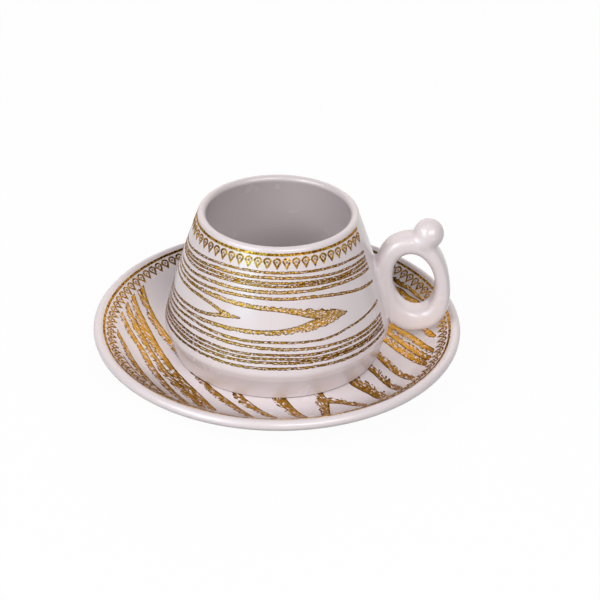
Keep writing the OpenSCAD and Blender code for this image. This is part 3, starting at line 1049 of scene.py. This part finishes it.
# The cup's grain. Single lines come first, then close pairs, then the two forks. Places are the azimuth in
# degrees from the print's front, the distance below the lip's rounding as a percentage of the wall, and the
# drawn width in millimetres. The back of the print mirrors its front.
CUP_LINES = [
    [(-92, 23.4, 0.5), (-80, 22.8, 0.5), (-60, 19.4, 0.55), (-40, 16.7, 0.6), (-20, 15.6, 0.65),
     (0, 15.8, 0.7), (20, 16.4, 0.6), (40, 17.8, 0.55), (55, 19.4, 0.5), (70, 22.3, 0.7)],
    [(-92, 27.4, 0.5), (-80, 26.8, 0.5), (-60, 24.4, 0.6), (-50, 22.7, 0.8), (-40, 21.2, 0.9),
     (-20, 20.3, 0.8), (0, 19.9, 0.8), (20, 21.3, 0.6), (40, 23.4, 0.7), (55, 24.8, 0.6), (70, 26.6, 0.6)],
    [(-92, 38.6, 0.6), (-80, 38.1, 0.6), (-60, 36, 0.6), (-40, 33.2, 0.9), (-20, 32.2, 0.9), (0, 31.5, 1.1),
     (20, 31.9, 0.8), (40, 33, 0.9), (55, 35, 0.8), (70, 37.2, 0.9)],
    [(-92, 43.2, 0.5), (-80, 42.7, 0.5), (-60, 41.2, 0.6), (-40, 38.7, 0.7), (-20, 37, 0.8), (0, 37, 0.8),
     (20, 37.4, 0.9), (30, 39, 0.9), (40, 41.5, 0.8), (55, 46, 0.8), (70, 49.8, 0.8)],
    [(-92, 77, 0.5), (-80, 76.4, 0.5), (-60, 73.4, 0.6), (-50, 72.3, 0.6), (-30, 73.2, 0.8),
     (-15, 73.4, 0.7), (0, 72.8, 0.6), (25, 74, 0.6), (40, 71.4, 0.5), (55, 69.8, 0.5), (70, 68.2, 0.8)],
    [(-92, 81.4, 0.5), (-80, 80.8, 0.6), (-60, 78.6, 0.7), (-40, 77.5, 0.8), (-20, 77.8, 0.9),
     (0, 78.4, 0.9), (20, 79.9, 0.8), (40, 81, 0.8), (55, 81.3, 0.8), (70, 80.9, 0.9)],
    [(-92, 93, 0.5), (-80, 92.6, 0.6), (-65, 90.8, 0.8), (-40, 90.9, 0.9), (-20, 90.8, 0.7), (0, 90, 0.8),
     (20, 91.1, 0.8), (40, 91.2, 0.7), (70, 91.9, 0.7)],
    [(-92, 96.8, 0.6), (-80, 96.4, 0.7), (-60, 95.5, 0.7), (-40, 95.2, 0.7), (-20, 95.6, 0.7), (0, 95, 0.8),
     (20, 95.6, 0.7), (40, 96.4, 0.7), (70, 96.5, 0.8)],
    [(-92, 29.8, 0.5), (-80, 29.4, 0.5), (-60, 27.4, 0.6), (-50, 25.9, 0.65), (-40, 24.8, 0.65),
     (-20, 24.2, 0.65), (0, 24.2, 0.65), (20, 24.9, 0.65), (40, 26.9, 0.65), (55, 28.1, 0.65),
     (70, 29.4, 0.7)],
    [(-92, 32.2, 0.5), (-80, 31.9, 0.5), (-60, 30.8, 0.6), (-50, 29.3, 0.65), (-40, 27.9, 0.65),
     (-20, 26.8, 0.65), (0, 27, 0.65), (20, 27.5, 0.65), (40, 29.2, 0.65), (55, 31, 0.7), (70, 33.1, 0.75)],
    [(-92, 86.4, 0.5), (-80, 85.8, 0.6), (-60, 84, 0.65), (-40, 83.9, 0.65), (-20, 84.1, 0.6),
     (0, 83.4, 0.65), (20, 84.9, 0.7), (40, 84.7, 0.7), (55, 84.8, 0.75), (70, 85.2, 0.7)],
    [(-92, 88.9, 0.5), (-80, 88.4, 0.6), (-60, 87.4, 0.65), (-40, 87.2, 0.65), (-20, 87.4, 0.65),
     (0, 86.7, 0.7), (20, 88.4, 0.7), (40, 88.9, 0.75), (55, 89.1, 0.75), (70, 88.5, 0.7)],
]
CUP_FORKS = [
    [(-92, 47, 0.5), (-80, 46.6, 0.6), (-60, 45.2, 0.8), (-40, 43.9, 1.3), (-20, 44.4, 1.4), (-8, 45, 1.5),
     (2, 45.8, 1.6), (12, 48.5, 2.4), (21, 51.5, 3.4), (30, 54, 2.8), (37, 56.2, 1.6), (41, 57.6, 0.4)],
    [(-92, 71.4, 0.5), (-80, 70.8, 0.6), (-60, 68.8, 0.7), (-40, 67, 1.2), (-20, 65.6, 1.3), (-8, 65, 1.5),
     (2, 64.2, 1.8), (12, 62.2, 2.5), (21, 60.2, 3.7), (30, 58.8, 2.8), (37, 58, 1.6), (41, 57.6, 0.4)],
    [(-92, 52.2, 0.5), (-80, 51.6, 0.5), (-60, 50.2, 0.8), (-48, 50.1, 0.9), (-40, 51.3, 1),
     (-34, 53.4, 1.2), (-29, 55.2, 1.3), (-21, 55.5, 0.3)],
    [(-92, 67.6, 0.5), (-80, 66.9, 0.5), (-60, 64.1, 0.7), (-48, 62.4, 0.8), (-40, 60.5, 0.9),
     (-34, 58.2, 1.2), (-29, 56.4, 1.3), (-21, 55.6, 0.3)],
]

# The saucer's grain, drawn for a saucer of this radius. Each stroke has the side with the fringe, 1 for left and
# -1 for right as the stroke runs forward, and its places to the right and back and its width, in millimetres
DRAWN_R = 63
SAUCER_STROKES = [
    (1, [(-49.6, 26.5, 1.8), (-47.6, 20, 2), (-45.3, 14.5, 2.1), (-43, 9.3, 2.2), (-40.8, 5, 2.1),
         (-36.4, -4, 1.8), (-31.8, -13, 1.6), (-27.5, -21.5, 1.6), (-23.2, -28.8, 1.8), (-19.5, -34, 1.9),
         (-15, -39.5, 1.9), (-11, -44.8, 1.8), (-8, -49.5, 1.5)]),
    (1, [(-50.8, 24.5, 0.9), (-49.3, 21.5, 1), (-47.6, 17.5, 0.8)]),
    (1, [(-52.3, 21, 1.4), (-50.5, 15, 2), (-48, 9, 2.6), (-45.6, 3, 2.8), (-43, -3, 2.4), (-40.3, -9, 2),
         (-38, -14, 2), (-35.2, -20, 2.1), (-32, -25.5, 2.1), (-29.2, -30, 2.2), (-26, -35, 2.2),
         (-23.2, -40, 2.2), (-20.3, -45.5, 1.8)]),
    (1, [(-54.3, 15.5, 1.4), (-52.5, 11, 1.8), (-50.8, 7, 2), (-48.9, 3, 2), (-46.9, -1, 1.8),
         (-44.8, -6, 1.6), (-42.9, -10, 1.5), (-40.8, -14.5, 1.6), (-38.3, -20, 1.9), (-35.2, -25.5, 2),
         (-32.2, -30.5, 2.1), (-28.9, -35.5, 2.2), (-26.2, -40, 2.1), (-23.8, -45, 1.8)]),
    (1, [(-55.6, 9, 1.2), (-53.3, 4, 1.5), (-51.3, 0, 1.7), (-48.5, -5, 1.6), (-45.9, -10, 1.6),
         (-43.9, -15, 1.7), (-42, -20, 1.8), (-39.5, -25, 1.8), (-37, -30, 1.9), (-34.3, -35, 1.9),
         (-31.5, -40, 1.9), (-28.8, -45, 1.7)]),
    (1, [(-57, 1, 0.8), (-54.8, -5, 1), (-52.4, -10, 1.2), (-50.4, -15, 1.5), (-48.4, -20, 1.8),
         (-46, -25, 1.9), (-43.3, -30, 1.9), (-40.5, -35, 1.8), (-37.5, -40, 1.6), (-34.5, -45, 1.4)]),
    (1, [(-56, -9.5, 0.7), (-54, -15, 0.8), (-51.8, -20, 0.9), (-49.4, -25, 1), (-46.4, -30, 1),
         (-43.2, -35, 1), (-40, -40, 0.9)]),
    (1, [(-33, 42, 1.2), (-30, 27, 1.4), (-25, 10, 1.5), (-20.5, -8, 1.7), (-16, -24, 2), (-12.3, -35, 2.3),
         (-9.8, -38.5, 2.2), (-6.8, -42, 1.9), (-3.8, -45.5, 1.8), (-0.6, -49.5, 1.5)]),
    (1, [(-24, 47, 1.4), (-20, 30, 1.6), (-14, 12, 1.8), (-8, -8, 2.2), (-2.5, -25, 2.6), (1.2, -36, 3.2),
         (2.9, -39.5, 3.1), (4.9, -43, 2.8), (6.9, -46.5, 2.6), (8.8, -50, 2)]),
    (1, [(-13, 51, 1.4), (-8, 33, 1.7), (-1, 14, 2), (6, -8, 2.3), (11.5, -25, 2.4), (14.2, -34, 2.6),
         (15.2, -38, 3.2), (15.7, -42, 2.6), (16, -48, 2.1), (16, -55.5, 1.9)]),
    (-1, [(14.5, -36.8, 1.6), (17, -36.9, 2.4), (19.5, -37.1, 2.6), (22, -38, 2.5), (24.7, -40, 2.2),
          (27, -42.8, 1.9), (28.7, -46.5, 1.6), (30, -51.5, 1.3)]),
    (-1, [(-2, 53, 1.3), (3.5, 34, 1.7), (10, 14, 2), (17, -6, 2.6), (22.5, -19.5, 3.2), (26.3, -25.6, 4),
          (29.6, -29.2, 3.9), (32.2, -33, 3.6), (33.8, -37.2, 3.4), (34.9, -42, 2.8), (35.5, -46, 2)]),
    (-1, [(9, 53.5, 1.2), (14, 35, 1.6), (19.5, 17, 1.9), (25.5, 0, 2.1), (30.4, -15, 2.4),
          (32.4, -18, 2.5), (34.4, -21.5, 2.4), (36.2, -25.2, 2.3), (37.7, -29.2, 2.1), (39, -33.3, 1.9),
          (40, -37.5, 1.6), (40.7, -41, 1.3)]),
    (-1, [(19, 51, 1.2), (23, 35, 1.5), (28, 17, 1.8), (32.8, -5.5, 2.2), (34.8, -9.3, 2.3),
          (36.7, -13, 2.3), (38.7, -17, 2.2), (40.7, -21, 2.1), (42.6, -25, 2), (44.1, -29, 1.8),
          (45.4, -33, 1.6), (46.2, -36.5, 1.3)]),
    (-1, [(27, 48, 1.2), (30, 33, 1.5), (33, 17, 1.8), (36.3, 3.2, 2.2), (38.7, -0.6, 2.4), (41.6, -5, 2.4),
          (44.5, -10, 2.3), (47, -15, 2.1), (49, -20, 1.8), (50.4, -24.5, 1.4)]),
    (-1, [(31, 46, 1.2), (34, 30, 1.5), (36.8, 14, 2), (39, 6, 2.4), (41.4, 2, 2.4), (43.8, -2, 2.3),
          (46.2, -6.5, 2.1), (48.2, -11, 1.9), (49.9, -15.5, 1.7), (51.6, -20.5, 1.3)]),
    (1, [(34.5, 44, 1.2), (36.5, 30, 1.6), (37.8, 19, 2), (39.4, 11, 2.4), (42.6, 6.3, 2.2),
         (45.8, 1.8, 2.1), (48.2, -2.6, 1.9), (50.2, -7.6, 1.7), (52.2, -13.2, 1.5), (53.4, -17.5, 1.2)]),
    (1, [(37, 42, 1.2), (40, 29, 1.4), (43.5, 17, 1.6), (47, 9.5, 1.7), (50, 4.8, 1.7), (52.2, 0, 1.5),
         (54, -5, 1.2)]),
    (1, [(36.5, 41, 1), (41.5, 31, 1.6), (44.5, 27, 1.8), (46.5, 23, 1.8), (49.5, 18.5, 1.7),
         (52.5, 11, 1.5), (54.5, 5, 1.2)]),
    (-1, [(42.5, 34, 1.1), (45, 30, 1.3), (48, 26.5, 1.3), (50.5, 21.5, 1.2), (53, 17, 1)]),
    (-1, [(41.3, 29.5, 0.7), (43.2, 26.5, 1), (45, 22, 0.9), (46.5, 19, 0.7)]),
]


# The cup's grain: its top and bottom as shares of the wall, the percentage of the wall where the forks point and
# from which the fringes turn away, the combs of lines and forks, and a line's width for its drawn width
GRAIN_TOP, GRAIN_BOTTOM = 0.13, 0.985
FORK_ROW = 56
LINE_COMB, FORK_COMB = 0.3, 0.35
LINE_THIN, LINE_GAIN = 0.35, 0.82
# The saucer's grain: its comb, a stroke's width for its drawn width, and the first seed of its noise
STROKE_COMB, STROKE_GAIN, STROKE_SEED = 0.55, 1.2, 40


class COFFEE_OT_cup_grain(bpy.types.Operator):
    """Print the wood grain on the cup's wall"""

    bl_idname = "coffee.cup_grain"
    bl_label = "Cup grain"

    def execute(self, context):
        prints = context.scene.coffee_prints
        form = cup_form()
        step = prints.mesh_step / MM
        wide = 0.5 * (form.low.x + form.top.x) / MM
        tall = form.wall_len / MM
        back = -math.pi / 2 - prints.turn
        end = math.pi / 2 - prints.gap / 2 - prints.turn
        xs = np.arange(back * wide, end * wide, step)
        chart = Chart(xs, np.arange(GRAIN_TOP * tall, GRAIN_BOTTOM * tall, step))
        for seed, line in enumerate(CUP_LINES + CUP_FORKS):
            comb = LINE_COMB if seed < len(CUP_LINES) else FORK_COMB
            fringe = 1 if line[0][1] > FORK_ROW else -1
            points = [(math.radians(a) * wide, d / 100 * tall, LINE_THIN + LINE_GAIN * w) for a, d, w in line]
            chart.stroke(points, fringe, comb, seed)

        def place(x, y):
            turn = x / wide + prints.turn - math.pi / 2
            spots = [form.place(d * MM) for d in y.tolist()]
            p = np.array([spot + prints.lift * out for spot, out in spots])
            return np.stack([p[:, 0] * np.cos(turn), p[:, 0] * np.sin(turn), p[:, 1]], 1)

        gold = grain_material(
            "cup_grain_gold", speck_long=0.9, speck_wide=0.45, bare=0.055, lacy=0.01, edge=0.18, relief=0.0002
        )
        for name, half in (("front", chart), ("back", chart.mirrored())):
            grain = half.film("cup_grain_" + name, place, prints.thick)
            finish_piece(grain, "cup", gold)
        return {"FINISHED"}


class COFFEE_OT_saucer_grain(bpy.types.Operator):
    """Print the wood grain in the saucer's dish"""

    bl_idname = "coffee.saucer_grain"
    bl_label = "Saucer grain"

    def execute(self, context):
        prints = context.scene.coffee_prints
        dish = dish_form()
        step = prints.mesh_step / MM
        size = context.scene.coffee_saucer.radius / MM / DRAWN_R
        border = prints.saucer_line_drop + prints.line_w + prints.border_gap + prints.saucer_drop_h
        edge = dish.place(border)[0].x / MM
        xs = np.arange(-edge, edge + step, step)
        chart = Chart(xs, xs)
        for seed, (fringe, line) in enumerate(SAUCER_STROKES):
            points = [(x * size, y * size, STROKE_GAIN * w) for x, y, w in line]
            chart.stroke(points, -fringe, STROKE_COMB, seed + STROKE_SEED)
        x, y = np.meshgrid(xs, xs)
        chart.field = np.minimum(chart.field, edge - np.hypot(x, y))

        def place(x, y):
            c, s = math.cos(prints.turn), math.sin(prints.turn)
            x, y = (x * c - y * s) * MM, (x * s + y * c) * MM
            r = np.hypot(x, y)
            z, tilt = dish.surface(r)
            inward = prints.lift * np.sin(tilt) / np.maximum(r, MM)
            return np.stack([x * (1 - inward), y * (1 - inward), z + prints.lift * np.cos(tilt)], 1)

        gold = grain_material(
            "saucer_grain_gold", speck_long=2.6, speck_wide=0.6, bare=0.075, lacy=0.04, edge=0.26, relief=0.00006
        )
        middle = len(xs) // 2
        for name, half in (("left", chart.part(0, middle + 1)), ("right", chart.part(middle, len(xs)))):
            grain = half.film("saucer_grain_" + name, place, prints.thick)
            finish_piece(grain, "saucer", gold)
        return {"FINISHED"}


# Soft lamps: place, power, and whether the glaze and the gold mirror them
LAMPS = {
    "key_lamp": ((-0.81, -0.68, 0.81), 11.2, True),
    "fill_lamp": ((0.45, -0.96, 0.81), 11.0, True),
    "back_lamp": ((0.3, 1.05, 0.7), 4.2, False),
}
LAMP_WIDE, LAMP_TALL = 0.9, 0.6
LAMP_AIM = Vector((0, 0, 0.03))
# The floor: its darker tone as a share of the paler, its colour to the camera, and the share of it that glows
FLOOR_MOTTLE, FLOOR_WHITE, FLOOR_GLOW = 0.985, (0.95, 0.95, 0.95), 0.96
# Surroundings in linear colours: the soft light in front and behind, and what is mirrored, a room low down and
# high up, its side wall, a sheet behind, and a window with the direction that it lies in
SOFT_FRONT, SOFT_BEHIND = (0.08, 0.075, 0.078), (0.06, 0.056, 0.058)
ROOM_LOW, ROOM_HIGH = (0.125, 0.1, 0.082), (0.037, 0.029, 0.023)
SIDE_WALL = (0.5, 0.43, 0.35)
SHEET = (1.45, 1.25, 1.1)
WINDOW, WINDOW_AIM = (2.6, 4.6, 5.2), (-0.585, -0.78, 0.21)


class COFFEE_OT_stage(bpy.types.Operator):
    """Set the floor, the soft lamps and the camera"""

    bl_idname = "coffee.stage"
    bl_label = "Stage"

    def execute(self, context):
        scene = context.scene
        stage = scene.coffee_stage
        scene.view_settings.view_transform = "Standard"
        self.floor(stage)
        self.world(scene)
        for name, (place, power, mirrored) in LAMPS.items():
            self.lamp(name, place, power, mirrored)
        self.camera(scene, stage)
        return {"FINISHED"}

    def floor(self, stage):
        """A plain pale floor, shown and mirrored as almost white."""
        deselect()
        bpy.ops.mesh.primitive_circle_add(vertices=96, radius=stage.floor_r, fill_type="NGON")
        floor = named("floor")
        material, recipe, shader = new_material("pale_floor")
        if recipe:
            pale = tuple(stage.floor_colour)
            shade = recipe.noise(scale=3, detail=2)
            pale = recipe.tint(shade, [FLOOR_MOTTLE * c for c in pale], pale)
            path = recipe.add("ShaderNodeLightPath").outputs
            camera = path["Is Camera Ray"]
            recipe.feed(shader, "Base Color", recipe.blend(camera, pale, FLOOR_WHITE))
            shader.inputs["Roughness"].default_value = 0.9
            shader.inputs["Specular IOR Level"].default_value = 0
            mirrored = recipe.maths("MAXIMUM", path["Is Glossy Ray"], path["Is Transmission Ray"])
            seen = recipe.between(recipe.maths("MAXIMUM", camera, mirrored), 0, FLOOR_GLOW, start=0, end=1)
            white = recipe.add("ShaderNodeEmission").outputs["Emission"]
            mix = recipe.add("ShaderNodeMixShader", {"Fac": seen, 1: shader.outputs["BSDF"], 2: white})
            recipe.feed(recipe.nodes["Material Output"], "Surface", mix.outputs["Shader"])
        floor.data.materials.append(material)

    def world(self, scene):
        """Soft light, more from the front. The glaze and the gold mirror the room, the sheet and the window."""
        world = bpy.data.worlds.new("studio")
        world.use_nodes = True
        recipe = Recipe(world.node_tree)
        ahead = recipe.add("ShaderNodeTexCoord").outputs["Generated"]
        parts = recipe.parts(ahead)
        low = recipe.between(parts["Z"], 1, 0, start=0.6, end=0.76)
        side = recipe.between(parts["X"], 0, 1, start=0.2, end=0.9)
        behind = recipe.between(parts["Y"], 0, 1, start=0.35, end=0.65)
        aim = recipe.add("ShaderNodeVectorMath", {0: ahead, 1: WINDOW_AIM}, operation="DOT_PRODUCT")
        window = recipe.between(aim.outputs["Value"], 0, 1, start=0.93, end=0.99)
        mirrored = recipe.tint(parts["Z"], ROOM_LOW, ROOM_HIGH, start=0.2, end=0.6)
        mirrored = recipe.blend(recipe.maths("MULTIPLY", low, side), mirrored, SIDE_WALL)
        mirrored = recipe.blend(recipe.maths("MULTIPLY", low, behind), mirrored, SHEET)
        mirrored = recipe.blend(window, mirrored, WINDOW)
        soft = recipe.tint(parts["Y"], SOFT_FRONT, SOFT_BEHIND, start=0, end=0.7)
        path = recipe.add("ShaderNodeLightPath").outputs
        light = recipe.blend(path["Is Glossy Ray"], soft, mirrored)
        back = recipe.nodes["Background"]
        recipe.feed(back, "Color", recipe.blend(path["Is Camera Ray"], light, (1, 1, 1)))
        back.inputs["Strength"].default_value = 1
        scene.world = world

    def lamp(self, name, place, power, mirrored):
        """A soft lamp that points at the cup, with or without its own mirror image."""
        deselect()
        bpy.ops.object.light_add(type="AREA", location=place)
        lamp = named(name)
        lamp.data.shape = "RECTANGLE"
        lamp.data.size = LAMP_WIDE
        lamp.data.size_y = LAMP_TALL
        lamp.data.energy = power
        lamp.visible_glossy = mirrored
        aim = LAMP_AIM - Vector(place)
        lamp.rotation_euler = aim.to_track_quat("-Z", "Y").to_euler()

    def camera(self, scene, stage):
        """The photograph's view."""
        turn = Matrix.Rotation(scene.coffee_prints.turn, 3, "Z")
        up_z = scene.coffee_saucer.well_z + stage.distance * math.sin(stage.elevation)
        place = turn @ Vector((0, -stage.distance * math.cos(stage.elevation), up_z))
        level = math.cos(stage.tilt)
        ahead = Vector((math.sin(stage.pan) * level, math.cos(stage.pan) * level, -math.sin(stage.tilt)))
        right = Vector((math.cos(stage.pan), -math.sin(stage.pan), 0))
        up = right.cross(ahead)
        c, s = math.cos(stage.roll), math.sin(stage.roll)
        right, up = c * right + s * up, c * up - s * right
        axes = turn @ Matrix((right, up, -ahead)).transposed()
        bpy.ops.object.camera_add()
        camera = named("photo_camera")
        camera.matrix_world = Matrix.Translation(place) @ axes.to_4x4()
        camera.data.sensor_width = 36
        camera.data.lens = stage.focal
        camera.data.clip_start = 0.01
        scene.camera = camera


class COFFEE_PT_panel(bpy.types.Panel):
    """Lists the pieces and their sizes"""

    bl_idname = "COFFEE_PT_panel"
    bl_label = "Coffee cup"
    bl_space_type = "VIEW_3D"
    bl_region_type = "UI"
    bl_category = "Coffee cup"

    def draw(self, context):
        for operator in OPERATORS:
            self.layout.operator(operator.bl_idname)
        for name in GROUPS:
            box = self.layout.box()
            group = getattr(context.scene, name)
            box.label(text=type(group).__doc__)
            for key in type(group).__annotations__:
                box.prop(group, key)


GROUPS = {
    "coffee_cup": CupSizes,
    "coffee_handle": HandleSizes,
    "coffee_saucer": SaucerSizes,
    "coffee_prints": PrintSizes,
    "coffee_finishes": Finishes,
    "coffee_stage": StageSizes,
}
OPERATORS = [
    COFFEE_OT_saucer,
    COFFEE_OT_cup_body,
    COFFEE_OT_handle,
    COFFEE_OT_gold_lines,
    COFFEE_OT_drop_borders,
    COFFEE_OT_cup_grain,
    COFFEE_OT_saucer_grain,
    COFFEE_OT_stage,
]


def register():
    for name, group in GROUPS.items():
        bpy.utils.register_class(group)
        setattr(bpy.types.Scene, name, PointerProperty(type=group))
    for operator in OPERATORS:
        bpy.utils.register_class(operator)
    bpy.utils.register_class(COFFEE_PT_panel)


def unregister():
    bpy.utils.unregister_class(COFFEE_PT_panel)
    for operator in reversed(OPERATORS):
        bpy.utils.unregister_class(operator)
    for name, group in reversed(GROUPS.items()):
        delattr(bpy.types.Scene, name)
        bpy.utils.unregister_class(group)


def main():
    register()
    bpy.ops.coffee.saucer()
    bpy.ops.coffee.cup_body()
    bpy.ops.coffee.handle()
    bpy.ops.coffee.gold_lines()
    bpy.ops.coffee.drop_borders()
    bpy.ops.coffee.cup_grain()
    bpy.ops.coffee.saucer_grain()
    bpy.ops.coffee.stage()


if __name__ == "__main__":
    main()
